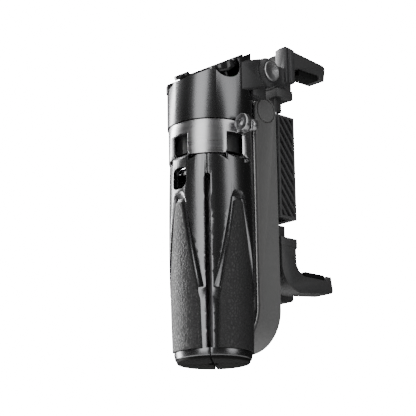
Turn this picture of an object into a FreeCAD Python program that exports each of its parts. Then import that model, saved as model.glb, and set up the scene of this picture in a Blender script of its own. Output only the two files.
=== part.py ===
"""Folding phone gimbal: a handle whose four grips open into a stand, a telescopic mast, a control
head, and a folding U-shaped arm that carries a motor-driven, spring-loaded phone clamp.

The origin lies on the handle's axis at the middle of the grip. +Z runs up the handle, +Y points
from the handle to the phone clamp, and +X runs along the phone's long side.  Units are mm.
"""
import FreeCAD, Part
import math
import os

from FreeCAD import Vector

# clearances
runFit = 0.05            # a shaft turning in its bore
slideFit = 0.3           # two pieces that slide or swing past each other
seatFit = 0.1            # a piece dropped into its recess

# handle heights and radii
footBottom = -38.3
footT = 1.1              # rubber sole under each leg
legFloor = -34.9         # inside floor of the leg, and the lower end of the pad
seamZ = 47.2             # top of the collar
headGap = 0.3
handleTurn = -3.5        # the legs stand a little off the head's axes, degrees
legTopR = 14.6
legBellyR = 15.15
legBellyZ = -8.0         # the leg is widest here
legEndR = 14.4
bandR = 13.9             # metal band below the pads
bandEndR = 13.5
bandBevel = 0.6          # sloping step from the pad's recess to the band
bandEdge = 0.3
footR = 13.0
footInnerR = 2.0
legWall = 2.1
seamGap = 0.4            # thin gap between neighbouring legs
slotW = 2.2              # long open slot between neighbouring legs
slotTop = 27.3
slotBottom = -34.6

# leg hinge
legHingeR = 12.4
legHingeZ = 33.8
legPinR = 0.7
legBossR = 1.2
knuckleW = 4.0
earW = 1.0
legTabHalf = 4.0
legTabTop = 36.0
legTabEdge = 33.9        # where the tab's sloping top starts on the outer surface
legTabSlope = 52.0       # slope of the tab's top, degrees
legShoulderGap = 0.4     # under the collar's tongue
legShoulderT = 7.5
legNotchDrop = 1.8
legNotchT = 4.4
portZ = 26.7             # rounded opening in the front leg
portHalfW = 3.6
portHalfH = 4.0
portCornerR = 2.4

# leather pad in its recess
padDepth = 0.9
padProud = 0.1
padTipZ = 17.9
padTipHalf = 1.75
padWideZ = -16.5
padHalf = 7.5
padCorner = 0.35
recessTip = (1.6, 21.6)  # half width and height of the rim's upper end
recessRows = (           # floor's half width and height, then the rim's, from the tip down
    ((2.0, 19.2), (2.3, 21.1)),
    ((2.15, 18.6), (3.4, 18.6)),
    ((3.8, 8.5), (5.3, 8.5)),
    ((5.45, -1.6), (7.18, -1.6)),
    ((7.43, -13.7), (9.44, -13.7)),
)
raisedEndZ = -13.7       # lower end of the raised metal between two pads
raisedEndT = 9.44
raisedFootZ = -16.4
recessHalf = 11.2

# collar and hub
collarR = 15.1
collarWall = 1.1
collarLow = 42.8         # lower edge between the tongues
tongueLow = 34.7
tongueAngle = 55.0
hubR = 8.3
hubLow = 29.0
screwX = 19.2
screwZ = 45.4
screwR = 1.1
screwHeadR = 3.2
screwHeadH = 2.2
socketR = 1.5
socketDepth = 1.3
nutR = 2.1
nutH = 2.3
clampEarT = 2.4          # both ears together, slit included
clampEarEnd = 1.7        # ear beyond the screw's axis
clampEarRound = 1.4
clampSlit = 0.6

# telescopic mast
tubeWall = 0.8
outerTubeR = 7.4
tubeGap = 0.15
outerTubeLow = -34.0
outerTubeTop = 46.0

# head
headR = 15.5
headWall = 1.6
headFloor = 2.0
slantAngle = 28.0
slantZ = 71.4            # height of the slanted top on the handle's axis
panelDrop = 0.8
panelT = 1.6
rimR = (12.4, 13.5)      # raised lip round the back of the panel
rimH = 0.8
rimFromV = -3.0
boardDrop = 5.4
boardT = 1.2
bossR = 9.0
battery = (19.0, 15.0, 5.0)

# controls, placed across (u) and up (v) the slanted panel
buttonR = 2.2
buttonTravel = 0.5
powerAt = (4.6, 4.4)
modeAt = (-4.6, 4.4)
stickAt = (-4.6, -10.0)
stickCapR = 3.0
stickBowlR = 4.6
stickScoopR = 5.7
stickScoopShift = 2.4    # the scoop runs out through the head's wall
dialAt = (11.0, -5.0)
dialR = 4.6
dialT = 3.0
dialRound = 1.3
sideButton = (2.6, 3.4)  # width and height
sideButtonAzimuth = -122.0
sideButtonZ = 62.2
sideButtonDepth = 1.6    # how far the key reaches in past the wall

# horn beside the head, and the accessory plate on its shaft
hornX = (5.3, 15.5)
hornStartY = 1.5         # the horn grows out of the head's side from here
hornHalf = 5.5
hornEdge = 1.1           # rounding of the horn's long edges
hornAngle = 18.5
hornPivot = (16.2, 69.9) # Y and Z of the pivot's axis
hornSeatX = 12.6         # the accessory's round lug lies against this face
hornSeatR = 6.0
hornLug = ((9.6, 14.4), (8.4, 15.0), (59.6, 66.0))
lugX = (12.8, 16.0)
lugR = 5.6
lugChamfer = 1.3
lugWebX = (12.8, 14.6)
lugWebHalf = 3.8
pivotShaftR = 1.6
pivotHeadR = 3.9
pivotHeadT = 0.9
pivotDish = 0.5
postX = (10.2, 15.5)
postY = (25.0, 29.5)
postLow = 1.5            # below the pivot's axis
postHigh = 13.0          # above the pivot's axis
postChamfer = 1.2
barT = 0.6

# folding arm: a U in the XZ plane
armOutX = 4.8
armT = 4.5
armCoverT = 1.2
armY = (19.0, 30.5)
armBendR = 15.0
armBendZ = -15.6
pivotZ = 59.4
pivotPinR = 2.5
pivotCapR = 4.4
pivotCapT = 0.9
bracketX = -8.8
mountPlateT = 2.5

# roll motor and clamp
clampZ = 39.6
clampHalfW = 14.15
clampBackY = 31.2
clampFrontY = 38.6
clampHalfH = 20.15
clampWall = 1.4
clampCoverT = 1.5
grilleT = 1.2
grilleBorder = 1.0
grilleSlots = 10
grilleSlotW = 1.5
grilleRise = 52.0
phonePadT = 2.0
motorR = 9.0
motorWall = 0.8
shaftR = 1.5

# jaws, measured outward from the clamp's middle
gripHalf = 39.0
jawFingerW = 7.8
jawBackY = 31.4
jawDepth = 7.8
jawBase = 31.0
jawBridgeH = 7.0
flangeIn = 27.4
stemIn = 22.4
stemY = (32.6, 36.7)
stemHalfW = 11.1
rodR = 0.85
rodY = 34.2
rodInner = 2.6
rodFlangeR = 1.3
rodFlangeH = 0.6
guideOut = 14.8
guideH = 3.0
springWireR = 0.18
springR = 1.1
springPitch = 1.0
upperRodOffset = 9.9
lowerRodOffset = 7.3

# synchronising pinion and racks
gearModule = 0.6
pinionTeeth = 12
gearBacklash = 0.24
rackBodyW = 1.6
rackReach = 6.0
gearY = (34.0, 36.4)
pinionBoreR = 1.0

# worked out from the values above
armMidY = (armY[0] + armY[1]) / 2
armHalfW = (armY[1] - armY[0]) / 2
armInX = armOutX - armT
armBendX = armOutX - armBendR
clampX = armOutX - clampHalfW
pitchR = gearModule * pinionTeeth / 2
headLow = seamZ + headGap
middleTubeR = outerTubeR - tubeWall - tubeGap
innerTubeR = middleTubeR - tubeWall - tubeGap
innerTubeTop = headLow + headFloor + 1.0
legProfileTop = legTabTop + 2

parts = {}


# basic shapes

def box(x, y, z):
    """A box from three (low, high) pairs."""
    return Part.makeBox(x[1] - x[0], y[1] - y[0], z[1] - z[0], Vector(x[0], y[0], z[0]))


def rod(axis, at, low, high, radius):
    """A cylinder along X, Y or Z; at holds the other two coordinates in order."""
    start = list(at)
    start.insert("XYZ".index(axis), low)
    direction = {"X": Vector(1, 0, 0), "Y": Vector(0, 1, 0), "Z": Vector(0, 0, 1)}[axis]
    return Part.makeCylinder(radius, high - low, Vector(*start), direction)


def ring(axis, at, low, high, outer, inner):
    return rod(axis, at, low, high, outer).cut(rod(axis, at, low - 1, high + 1, inner))


def prism(plane, points, low, high):
    """A closed polygon in the YZ, XZ or XY plane, extruded along the remaining axis."""
    place = {"YZ": lambda a, b: Vector(low, a, b), "XZ": lambda a, b: Vector(a, low, b),
             "XY": lambda a, b: Vector(a, b, low)}[plane]
    along = {"YZ": Vector(1, 0, 0), "XZ": Vector(0, 1, 0), "XY": Vector(0, 0, 1)}[plane]
    corners = [place(a, b) for a, b in points]
    face = Part.Face(Part.makePolygon(corners + corners[:1]))
    return face.extrude(along * (high - low))


def revolved(edges, angle=360.0):
    """Turn a closed profile of edges in the XZ plane about Z."""
    face = Part.Face(Part.Wire(edges))
    return face.revolve(Vector(0, 0, 0), Vector(0, 0, 1), angle)


def line(a, b):
    return Part.LineSegment(Vector(a[0], 0, a[1]), Vector(b[0], 0, b[1])).toShape()


def arc(a, b, c):
    return Part.Arc(*(Vector(p[0], 0, p[1]) for p in (a, b, c))).toShape()


def turned(shape, angle, axis=(0, 0, 1), at=(0, 0, 0)):
    copy = shape.copy()
    copy.rotate(Vector(*at), Vector(*axis), angle)
    return copy


def moved(shape, x=0.0, y=0.0, z=0.0):
    copy = shape.copy()
    copy.translate(Vector(x, y, z))
    return copy


def joined(shapes):
    whole = shapes[0]
    for shape in shapes[1:]:
        whole = whole.fuse(shape)
    return whole.removeSplitter()


def without(shape, cutters):
    for cutter in cutters:
        shape = shape.cut(cutter)
    return shape


def softened(shape, radius, chosen):
    """Fillet the edges that chosen(edge) picks."""
    edges = [edge for edge in shape.Edges if chosen(edge)]
    return shape.makeFillet(radius, edges) if edges else shape


def slanted(shape):
    """Move a shape drawn about the origin onto the head's slanted top."""
    return moved(turned(shape, slantAngle, (1, 0, 0)), z=slantZ)


def mirroredUp(shape):
    """Mirror an upper clamp piece to the lower side."""
    return shape.mirror(Vector(0, 0, clampZ), Vector(0, 0, 1))


# legs

def legProfile(inset, wall):
    """The leg's wall as a closed profile: inset below the outer surface, wall thick."""
    top = (legTopR - inset, legProfileTop)
    belly = (legBellyR - inset, legBellyZ)
    end = (legEndR - inset, legFloor)
    inner = [(p[0] - wall, p[1]) for p in (top, belly, end)]
    return [arc(top, belly, end), line(end, inner[2]), arc(inner[2], inner[1], inner[0]),
            line(inner[0], top)]


def polygonProfile(points):
    return [line(a, b) for a, b in zip(points, points[1:] + points[:1])]


def legSector(reach, low, high, gap):
    """A quarter wedge about +X with half of the gap taken off each side."""
    shift = gap / 2 * math.sqrt(2)
    return prism("XY", [(shift, 0), (reach + shift, reach), (reach + shift, -reach)], low, high)


def halfSpace(a, b, c, reach=60.0):
    """A big block on the side of the plane through a, b and c that (b - a) x (c - a) points to."""
    along = (b - a).normalize()
    normal = along.cross(c - a).normalize()
    across = normal.cross(along)
    corners = [a + along * (s * reach) + across * (t * reach)
               for s, t in ((-1, -1), (1, -1), (1, 1), (-1, 1))]
    return Part.Face(Part.makePolygon(corners + corners[:1])).extrude(normal * reach)


def onLeg(t, z, inset=0.0):
    """The point of the leg's outer surface, or of one inset below it, at t across and height z."""
    rise = (legBellyR - legEndR) / (legFloor - legBellyZ) ** 2
    fall = (legBellyR - legTopR) / (legProfileTop - legBellyZ) ** 2
    radius = legBellyR - (rise if z < legBellyZ else fall) * (z - legBellyZ) ** 2 - inset
    return Vector(math.sqrt(radius ** 2 - t ** 2), t, z)


def padOutline():
    """The leather pad's outline, a blunt wedge over a straight strip."""
    half = [(padTipHalf - padCorner, padTipZ), (padTipHalf, padTipZ - padCorner), (padHalf, padWideZ),
            (padHalf, legFloor + 0.2)]
    return prism("YZ", half + [(-t, z) for t, z in reversed(half)], 5.0, 20.0)


def makeRecess():
    """The pad's recess, as a list of cutters: a floor below the leg's surface, with sloping walls."""
    layer = revolved(legProfile(-3, 3 + padDepth))
    half = [row[0] for row in recessRows]
    cutters = [layer.common(prism("YZ", half + [(-t, z) for t, z in reversed(half)], 5.0, 20.0))]
    floors = [onLeg(*row[0], padDepth) for row in recessRows]
    rims = [onLeg(*row[1]) for row in recessRows]
    tip = onLeg(*recessTip)
    facets = [(floors[0], tip, rims[0])]
    for a, b, c, d in zip(floors, rims, rims[1:], floors[1:]):
        facets += [(a, b, c), (a, c, d)]
    for facet in facets:
        slope = Part.Face(Part.makePolygon(list(facet) + [facet[0]])).extrude(Vector(6, 0, 0))
        cutters += [slope, acrossLeg(slope)]
    ends = [floors[0], tip]
    corners = ends + [Vector(p.x, -p.y, p.z) for p in reversed(ends)]
    cutters.append(Part.Face(Part.makePolygon(corners + corners[:1])).extrude(Vector(6, 0, 0)))

    strip = layer.common(box((5, 20), (-recessHalf, recessHalf), (legFloor - 1, raisedEndZ)))
    high = onLeg(raisedEndT, raisedEndZ)
    low = onLeg(raisedEndT, raisedFootZ, padDepth)
    end = halfSpace(high, high + Vector(-1, 1, 0), low)
    beside = end.common(box((0, 30), (padHalf, 20.0), (-30, 0)))
    cutters.append(without(strip, [beside, acrossLeg(beside)]))
    return cutters


def acrossLeg(shape):
    """Mirror a shape drawn on one side of the leg to the other side."""
    return shape.mirror(Vector(0, 0, 0), Vector(0, 1, 0))


def legSlots():
    """The long slots that open the leg's two sides."""
    cutters = []
    for side in (1, -1):
        slot = box((8, 20), (-slotW / 2, slotW / 2), (slotBottom, slotTop - slotW / 2))
        cap = rod("X", (0, slotTop - slotW / 2), 8, 20, slotW / 2)
        cutters.append(turned(slot.fuse(cap), 45 * side))
    return cutters


def makeLeg():
    """One leg about +X: shell, leather pad and rubber foot."""
    soleTop = footBottom + footT
    shell = revolved(legProfile(0, legWall))
    wallR = legEndR - legWall
    band = revolved(polygonProfile([(footInnerR, legFloor), (wallR, legFloor), (wallR, legFloor + 1.5),
                                    (legEndR - padDepth, legFloor + bandBevel), (bandR, legFloor),
                                    (bandEndR, soleTop + bandEdge), (bandEndR - bandEdge, soleTop),
                                    (footInnerR, soleTop)]))
    shell = shell.fuse(band).common(legSector(30, soleTop, legTabTop + 1, seamGap))
    shoulder = tongueLow - legShoulderGap
    side = [(30, soleTop), (30, shoulder), (legShoulderT, shoulder),
            (legNotchT, shoulder - legNotchDrop), (legTabHalf, shoulder - legNotchDrop),
            (legTabHalf, legTabTop)]
    outline = side + [(-t, z) for t, z in reversed(side)]
    shell = shell.common(prism("YZ", outline, 0, 20))
    slope = math.tan(math.radians(legTabSlope))
    ramp = prism("XZ", [(legTopR + 1, legTabEdge - slope), (legTopR + 1, legTabTop + 5),
                        (legTopR - 6, legTabEdge + 6 * slope)], -legTabHalf - 0.1, legTabHalf + 0.1)
    pocketX = legHingeR + legBossR + 0.2
    pocketHalf = knuckleW / 2 + 0.2 + earW + 0.2
    pocket = box((0, pocketX), (-pocketHalf, pocketHalf), (legHingeZ - legBossR - 1.0, 60))
    shell = without(shell, [ramp, pocket] + makeRecess() + legSlots())

    web = box((legHingeR, pocketX + 0.3), (-knuckleW / 2, knuckleW / 2),
              (legHingeZ - legBossR, legHingeZ + 0.2))
    knuckle = rod("Y", (legHingeR, legHingeZ), -knuckleW / 2, knuckleW / 2, legBossR)
    bore = rod("Y", (legHingeR, legHingeZ), -knuckleW, knuckleW, legPinR + runFit)
    shell = joined([shell, web, knuckle]).cut(bore)

    pad = revolved(legProfile(-padProud, padProud + padDepth)).common(padOutline())
    foot = revolved(polygonProfile([(footInnerR, soleTop), (footR, soleTop), (footR, footBottom + 0.4),
                                    (footR - 0.4, footBottom), (footInnerR, footBottom)]))
    foot = foot.common(legSector(30, footBottom - 1, soleTop + 1, seamGap))
    return {"shell": shell, "pad": pad, "foot": foot}


def makeLegs():
    leg = makeLeg()
    for name, angle in (("right", 0), ("back", 90), ("left", 180), ("front", 270)):
        for piece, shape in leg.items():
            parts[f"{name}_leg_{piece}"] = turned(shape, angle + handleTurn)
    port = softened(box((5, 20), (-portHalfW, portHalfW), (portZ - portHalfH, portZ + portHalfH)),
                    portCornerR, lambda e: e.BoundBox.XLength > 10)
    shell = parts["front_leg_shell"]
    parts["front_leg_shell"] = shell.cut(turned(port, 270 + handleTurn))


# hub, collar and mast

def makeHub():
    core = rod("Z", (0, 0), hubLow, seamZ - 0.2, hubR)
    flange = rod("Z", (0, 0), collarLow + 0.2, seamZ - 0.2, collarR - collarWall)
    ears = []
    for quarter in range(4):
        for side in (1, -1):
            near = side * (knuckleW / 2 + 0.2)
            far = near + side * earW
            y = (min(near, far), max(near, far))
            ear = box((hubR - 1.5, legHingeR), y, (legHingeZ - legBossR, legHingeZ + legBossR))
            ear = ear.fuse(rod("Y", (legHingeR, legHingeZ), y[0], y[1], legBossR))
            ears.append(turned(ear, 90 * quarter))
    hub = joined([core, flange] + ears)
    bores = [turned(rod("Y", (legHingeR, legHingeZ), -5, 5, legPinR), 90 * q) for q in range(4)]
    hub = without(hub, [rod("Z", (0, 0), hubLow - 1, seamZ + 1, outerTubeR)] + bores)
    parts["leg_hub"] = turned(hub, handleTurn)

    half = knuckleW / 2 + 0.2 + earW
    pins = [turned(rod("Y", (legHingeR, legHingeZ), -half, half, legPinR), 90 * q + handleTurn)
            for q in range(4)]
    parts["leg_hinge_pins"] = Part.makeCompound(pins)


def makeCollar():
    inner = collarR - collarWall
    band = ring("Z", (0, 0), collarLow, seamZ, collarR, inner)
    sleeve = ring("Z", (0, 0), tongueLow, collarLow, collarR, inner)
    width = 2 * collarR * math.sin(math.radians(tongueAngle / 2))
    tongue = box((5, 20), (-width / 2, width / 2), (tongueLow, collarLow + 1))
    tongue = softened(tongue, 1.6, lambda e: abs(e.BoundBox.ZMax - tongueLow) < 0.01
                      and e.BoundBox.XLength > 10)
    tongues = [turned(tongue, 45 + 90 * q + handleTurn).common(sleeve) for q in range(4)]
    half = clampEarT / 2
    ears = box((collarR - 0.7, screwX + clampEarEnd), (-half, half), (collarLow, seamZ))
    ears = softened(ears, clampEarRound, lambda e: abs(e.BoundBox.XMin - screwX - clampEarEnd) < 0.01
                    and e.BoundBox.YLength > half)
    collar = joined([band, ears] + tongues)
    slit = box((collarR - 3, screwX + 5), (-clampSlit / 2, clampSlit / 2), (collarLow - 1, seamZ + 1))
    at = (screwX, screwZ)
    parts["collar"] = without(collar, [slit, rod("Y", at, -half - 1, half + 1, screwR)])

    shank = rod("Y", at, -half - 0.5, half + nutH, screwR)
    head = rod("Y", at, -half - screwHeadH, -half, screwHeadR)
    head = softened(head, 0.4, lambda e: e.BoundBox.YMax < -half - 1)
    socket = hexPrism(screwX, screwZ, -half - screwHeadH - 1, -half - screwHeadH + socketDepth, socketR)
    parts["collar_screw"] = joined([shank, head]).cut(socket)
    nut = rod("Y", at, half, half + nutH, nutR)
    parts["collar_nut"] = nut.cut(rod("Y", at, 0, 10, screwR))


def hexPrism(x, z, low, high, radius):
    points = [(x + radius * math.cos(math.radians(60 * i)), z + radius * math.sin(math.radians(60 * i)))
              for i in range(6)]
    return prism("XZ", points, low, high)


def makeMast():
    top = outerTubeTop
    outer = ring("Z", (0, 0), outerTubeLow, top, outerTubeR, outerTubeR - tubeWall)
    parts["mast_outer_tube"] = outer.fuse(rod("Z", (0, 0), outerTubeLow, outerTubeLow + 1, outerTubeR))
    parts["mast_middle_tube"] = ring("Z", (0, 0), outerTubeLow + 2, top + 0.6, middleTubeR,
                                     middleTubeR - tubeWall)
    parts["mast_inner_tube"] = ring("Z", (0, 0), outerTubeLow + 4, innerTubeTop, innerTubeR,
                                    innerTubeR - tubeWall)
    boss = rod("Z", (0, 0), headLow + headFloor + 0.3, headLow + headFloor + 2.3, bossR)
    spigot = rod("Z", (0, 0), innerTubeTop - 8, headLow + headFloor + 0.3, innerTubeR - tubeWall)
    parts["mast_top_boss"] = joined([boss, spigot]).cut(
        ring("Z", (0, 0), 0, innerTubeTop, innerTubeR, innerTubeR - tubeWall))


# head

def makeHead():
    body = rod("Z", (0, 0), headLow, slantZ + 20, headR)
    above = slanted(box((-40, 40), (-40, 40), (0, 60)))
    body = body.cut(above)
    cavity = rod("Z", (0, 0), headLow + headFloor, slantZ + 20, headR - headWall)
    dialScoop = slanted(Part.makeSphere(dialR + 0.9, Vector(dialAt[0] + 1.2, dialAt[1], -1.2)))
    stickScoop = slanted(Part.makeSphere(stickScoopR, Vector(stickAt[0], stickAt[1] - stickScoopShift, 1.0)))
    mastBore = rod("Z", (0, 0), 0, slantZ, innerTubeR + runFit)
    width, height = sideButton
    window = turned(box((headR - 4, headR + 4), (-width / 2 - 0.2, width / 2 + 0.2),
                        (sideButtonZ - height / 2 - 0.2, sideButtonZ + height / 2 + 0.2)),
                    sideButtonAzimuth)
    horn = makeHorn()
    housing = without(body, [cavity, dialScoop, stickScoop, mastBore, window])
    parts["arm_horn"] = horn.cut(rod("Z", (0, 0), 0, slantZ + 40, headR))
    parts["head_housing"] = housing

    inside = rod("Z", (0, 0), headLow, slantZ + 20, headR - headWall - seatFit)
    panel = slanted(box((-30, 30), (-30, 30), (-panelDrop - panelT, -panelDrop))).common(inside)
    holes = [slanted(rod("Z", at, -9, 9, buttonR + 0.2)) for at in (powerAt, modeAt)]
    bowl = slanted(rod("Z", stickAt, -9, 9, stickBowlR))
    dialPocket = slanted(rod("Z", dialAt, -9, 9, dialR + 0.4))
    lip = slanted(ring("Z", (0, 0), -panelDrop - 0.4, rimH, rimR[1], rimR[0]).common(
        box((-30, 30), (rimFromV, 30), (-5, 5))))
    keyRoom = turned(box((headR - headWall - sideButtonDepth - 0.9, headR),
                         (-width / 2 - slideFit, width / 2 + slideFit),
                         (sideButtonZ - height / 2 - slideFit, sideButtonZ + height / 2 + slideFit)),
                     sideButtonAzimuth)
    parts["control_panel"] = without(joined([panel, lip]), holes + [bowl, dialPocket, keyRoom])

    board = slanted(rod("Z", (0, 0), -boardDrop - boardT, -boardDrop, headR - headWall - 1.2))
    parts["control_board"] = board.common(inside)
    width, depth, height = battery
    low = headLow + headFloor + 2.6
    parts["battery"] = softened(
        box((-width / 2, width / 2), (-depth / 2, depth / 2), (low, low + height)), 1.5,
        lambda e: e.BoundBox.ZLength > height - 0.1)


def makeHorn():
    """A flat-sided horn that runs back beside the head to a round pivot end."""
    y, z = hornPivot
    length = y / math.cos(math.radians(hornAngle)) + 2
    block = box(hornX, (y - length, y), (z - hornHalf, z + hornHalf))
    block = softened(block, hornEdge, lambda e: e.BoundBox.YLength > 5 and e.BoundBox.XMin > hornX[0] + 1)
    horn = turned(block, hornAngle, (1, 0, 0), (0, y, z))
    horn = horn.fuse(rod("X", hornPivot, hornX[0], hornSeatX, hornHalf))
    seat = rod("X", hornPivot, hornSeatX, 30, hornSeatR)
    before = box((0, 30), (-20, hornStartY), (0, slantZ + 20))
    bore = rod("X", hornPivot, 0, 30, pivotShaftR + runFit)
    return without(joined([horn, box(*hornLug)]), [seat, before, bore])


def makeControls():
    width, height = sideButton
    for name, at in (("power_button", powerAt), ("mode_button", modeAt)):
        stem = rod("Z", at, -boardDrop + buttonTravel + 0.1, -panelDrop + 0.7, buttonR)
        parts[name] = slanted(softened(stem, 0.4, lambda e: e.BoundBox.ZMin > -panelDrop))
    switch = rod("Z", stickAt, -boardDrop, -boardDrop + 1.4, 2.6)
    parts["joystick_base"] = slanted(switch)
    yoke = ring("Z", stickAt, -boardDrop + 2.0, -boardDrop + 2.9, 2.4, 1.3)
    parts["joystick_yoke"] = slanted(yoke)
    stem = rod("Z", stickAt, -boardDrop + 1.7, 0.4, 0.9)
    cap = rod("Z", stickAt, 0.2, 1.9, stickCapR)
    cap = softened(cap, 0.6, lambda e: e.BoundBox.ZMin > 1.8)
    cap = cap.cut(Part.makeSphere(6.0, Vector(stickAt[0], stickAt[1], 7.4)))
    parts["joystick"] = slanted(joined([stem, cap]))
    dial = rod("Z", dialAt, -dialT, 0.2, dialR)
    dial = softened(dial, dialRound, lambda e: e.BoundBox.ZMax < -dialT + 0.1)
    parts["zoom_dial"] = slanted(dial.fuse(rod("Z", dialAt, -boardDrop + 0.2, -dialT, 1.2)))
    key = box((headR - headWall - sideButtonDepth, headR + 0.4), (-width / 2, width / 2),
              (sideButtonZ - height / 2, sideButtonZ + height / 2))
    key = softened(key, 0.35, lambda e: abs(e.BoundBox.XMin - headR - 0.4) < 0.01)
    parts["side_button"] = turned(key, sideButtonAzimuth)


def makeAccessory():
    """Swing-out post on a round lug, with its pivot shaft and dished cap."""
    y, z = hornPivot
    shaft = rod("X", hornPivot, hornX[0] + 0.6, lugX[1], pivotShaftR)
    head = rod("X", hornPivot, lugX[1], lugX[1] + pivotHeadT, pivotHeadR)
    dish = Part.makeCone(0.4, pivotHeadR - 0.5, pivotDish, Vector(lugX[1] + pivotHeadT - pivotDish, y, z),
                         Vector(1, 0, 0))
    parts["accessory_shaft"] = joined([shaft, head]).cut(dish)

    lug = rod("X", hornPivot, lugX[0], lugX[1], lugR)
    lug = lug.makeChamfer(lugChamfer, [e for e in lug.Edges if e.BoundBox.XMin > lugX[1] - 0.01])
    web = box(lugWebX, (y, postY[0] + 1), (z - lugWebHalf, z + lugWebHalf))
    post = box(postX, postY, (z - postLow, z + postHigh))
    post = post.makeChamfer(postChamfer, [e for e in post.Edges if e.BoundBox.ZMin > z + postHigh - 0.01])
    bar = box((postX[1], postX[1] + barT), (postY[0] + 1.9, postY[1] - 0.3),
              (z - postLow + 0.3, z + postHigh - postChamfer - 0.3))
    groove = box((postX[1] - 0.4, postX[1] + 1), (postY[0] + 1.1, postY[0] + 1.6),
                 (z - postLow - 1, z + postHigh - postChamfer))
    plate = joined([lug, web, post, bar]).cut(groove)
    parts["accessory_plate"] = plate.cut(rod("X", hornPivot, 0, lugX[1], pivotShaftR))


# folding arm

def armFace(outer, inner, topZ, endZ):
    """The U between two depths below its outer surface, as a solid across the arm's width."""
    y = armY[0]
    mid = armBendX

    def at(x, z):
        return Vector(x, y, z)

    def bend(depth):
        radius = armBendR - depth
        return (at(mid + radius, armBendZ), at(mid, armBendZ - radius), at(mid - radius, armBendZ))

    a, b = bend(outer), bend(inner)
    edges = [Part.LineSegment(at(a[0].x, topZ), a[0]).toShape(), Part.Arc(*a).toShape(),
             Part.LineSegment(a[2], at(a[2].x, endZ)).toShape(),
             Part.LineSegment(at(a[2].x, endZ), at(b[2].x, endZ)).toShape(),
             Part.LineSegment(at(b[2].x, endZ), b[2]).toShape(), Part.Arc(*reversed(b)).toShape(),
             Part.LineSegment(b[0], at(b[0].x, topZ)).toShape(),
             Part.LineSegment(at(b[0].x, topZ), at(a[0].x, topZ)).toShape()]
    return Part.Face(Part.Wire(edges))


def armBand(outer, inner, y, topZ, endZ):
    solid = armFace(outer, inner, topZ, endZ).extrude(Vector(0, y[1] - y[0], 0))
    return moved(solid, y=y[0] - armY[0])


def makeArm():
    armEndZ = clampZ + motorR
    frame = armBand(armCoverT, armT, armY, pivotZ, armEndZ)
    eye = rod("X", (armMidY, pivotZ), armInX, armOutX - armCoverT, armHalfW)
    mount = box((armBendX - armBendR + armCoverT, clampX), (armY[0], armY[0] + mountPlateT),
                (clampZ - motorR, clampZ + motorR))
    disc = rod("Y", (clampX, clampZ), armY[0], armY[0] + mountPlateT, motorR)
    frame = joined([frame, eye, mount, disc])
    pinBore = rod("X", (armMidY, pivotZ), armInX - 1, armOutX + 1, pivotPinR + runFit)
    parts["arm_frame"] = frame.cut(pinBore)

    cover = armBand(0, armCoverT, armY, pivotZ, armEndZ)
    coverEye = rod("X", (armMidY, pivotZ), armOutX - armCoverT, armOutX, armHalfW)
    cover = joined([cover, coverEye])
    recess = rod("X", (armMidY, pivotZ), armOutX - pivotCapT, armOutX + 1, pivotCapR + 0.35)
    cover = softened(cover, 0.7, lambda e: abs(e.BoundBox.XMin - armOutX) < 0.01
                     and e.BoundBox.XLength < 0.01 and e.BoundBox.ZLength > 5)
    parts["arm_cover"] = cover.cut(recess)
    cap = rod("X", (armMidY, pivotZ), armOutX - pivotCapT, armOutX + 0.15, pivotCapR)
    parts["pivot_cap"] = softened(cap, 0.3, lambda e: e.BoundBox.XMin > armOutX)

    bracketTop = armHalfW - 0.4
    reach = box((bracketX, armInX - slideFit), (8, armMidY), (pivotZ - bracketTop, pivotZ + bracketTop))
    end = rod("X", (armMidY, pivotZ), bracketX, armInX - slideFit, bracketTop)
    bracket = joined([reach, end]).cut(rod("Z", (0, 0), 0, 120, headR))
    parts["hinge_bracket"] = bracket.cut(rod("X", (armMidY, pivotZ), bracketX - 1, armInX, pivotPinR))
    parts["hinge_pin"] = rod("X", (armMidY, pivotZ), bracketX, armOutX - armCoverT - 0.1, pivotPinR)


# roll motor

def makeMotor():
    low = armY[0] + mountPlateT
    high = armY[1] - 0.5
    at = (clampX, clampZ)
    parts["motor_housing"] = rod("Y", at, low, high, motorR).cut(
        rod("Y", at, low + 1.0, high + 1, motorR - motorWall))
    bore = shaftR + 0.5
    hub = ring("Y", at, low + 1.0, high - 1.2, 3.0, bore)
    poles = [turned(box((2.6, 5.9), (low + 1.6, high - 2.0), (-0.7, 0.7)), 40 * i, (0, 1, 0))
             for i in range(9)]
    shoes = ring("Y", (0, 0), low + 1.6, high - 2.0, 6.2, 5.4)
    stator = joined([moved(joined([shoes] + poles), x=clampX, z=clampZ), hub])
    parts["motor_stator"] = stator
    parts["motor_bearings"] = Part.makeCompound(
        [ring("Y", at, y, y + 1.6, bore, shaftR + runFit) for y in (low + 1.2, high - 3.2)])
    cup = ring("Y", at, low + 1.8, high - 0.4, motorR - motorWall - slideFit, 6.7)
    end = rod("Y", at, high - 0.9, clampBackY, motorR - motorWall - slideFit)
    shaft = rod("Y", at, low + 1.1, high - 0.6, shaftR)
    parts["motor_rotor"] = joined([cup, end, shaft])


# phone clamp

def sides():
    return ((clampX - clampHalfW, clampX - clampHalfW + grilleT),
            (clampX + clampHalfW - grilleT, clampX + clampHalfW))


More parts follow.
